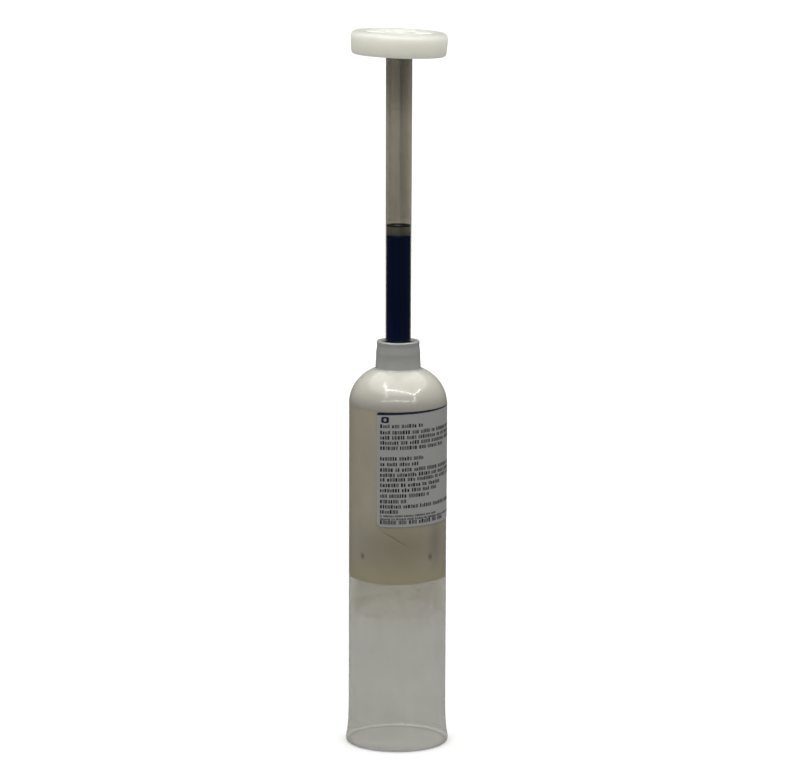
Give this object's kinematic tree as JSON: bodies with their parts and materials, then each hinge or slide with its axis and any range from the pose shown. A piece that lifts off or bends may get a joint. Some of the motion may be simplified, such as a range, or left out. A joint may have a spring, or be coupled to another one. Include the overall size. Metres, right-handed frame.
{
  "type": "two-part sealant injection cartridge",
  "caption": "Slender sealant cartridge standing on its rear rim, with a domed shoulder, short neck and a hollow dasher rod topped by a disc handle.",
  "frame": {"origin": "middle of the rear rim, on the plane that the cartridge stands on", "axes": "+Z along the common axis, from the rear rim to the handle; -Y towards the front, where the label's left part shows"},
  "size_m": [0.0468, 0.0468, 0.3262],
  "materials": {
    "natural_polyethylene": "natural milky translucent, smooth",
    "label_paper": "white coated paper with a dark blue top band and grey print",
    "base_compound_paste": "ivory paste, satin",
    "grey_rubber": "matt",
    "white_polyethylene": "milky white, satin",
    "rod_plastic": "smoky translucent tube, smooth",
    "accelerator_paste": "navy black paste",
    "plug_plastic": "grey, matt",
    "black_rubber": "matt"
  },
  "bodies": {
    "cartridge": {"cartridge_barrel": "natural_polyethylene", "base_compound": "base_compound_paste", "barrel_label": "label_paper"},
    "wiper": {"neck_wiper": "grey_rubber"},
    "dasher": {"dasher": "white_polyethylene"},
    "valve": {"dasher_valve": "grey_rubber"},
    "rod": {"dasher_rod": "rod_plastic", "rod_handle": "white_polyethylene", "accelerator_charge": "accelerator_paste"},
    "rod_piston": {"rod_piston": "plug_plastic", "piston_seal_ring": "black_rubber"},
    "plunger": {"plunger": "white_polyethylene"}
  },
  "joints": [
    {"name": "rod_twist", "type": "hinge", "parent": "cartridge", "child": "wiper", "pos_m": [0, 0, 0.17435], "axis": [0, 0, 1], "continuous": true},
    {"name": "dasher_stroke", "type": "slide", "parent": "wiper", "child": "dasher", "axis": [0, 0, 1], "range_m": [0, 0.0665]},
    {"name": "rod_unscrew", "type": "hinge", "parent": "dasher", "child": "valve", "pos_m": [0, 0, 0.0925], "axis": [0, 0, 1], "range_deg": [0, 1080]},
    {"name": "rod_lift", "type": "slide", "parent": "valve", "child": "rod", "axis": [0, 0, 1], "range_m": [0, 0.0049]},
    {"name": "piston_travel", "type": "slide", "parent": "rod", "child": "rod_piston", "axis": [0, 0, 1], "range_m": [-0.1315, 0], "deforming": ["accelerator_charge"]},
    {"name": "plunger_travel", "type": "slide", "parent": "cartridge", "child": "plunger", "axis": [0, 0, 1], "range_m": [-0.058, 0.002], "deforming": ["base_compound"]}
  ],
  "couplings": [
    {"joint": "rod_lift", "follows": "rod_unscrew", "m_per_rad": 0.00025465}
  ]
}
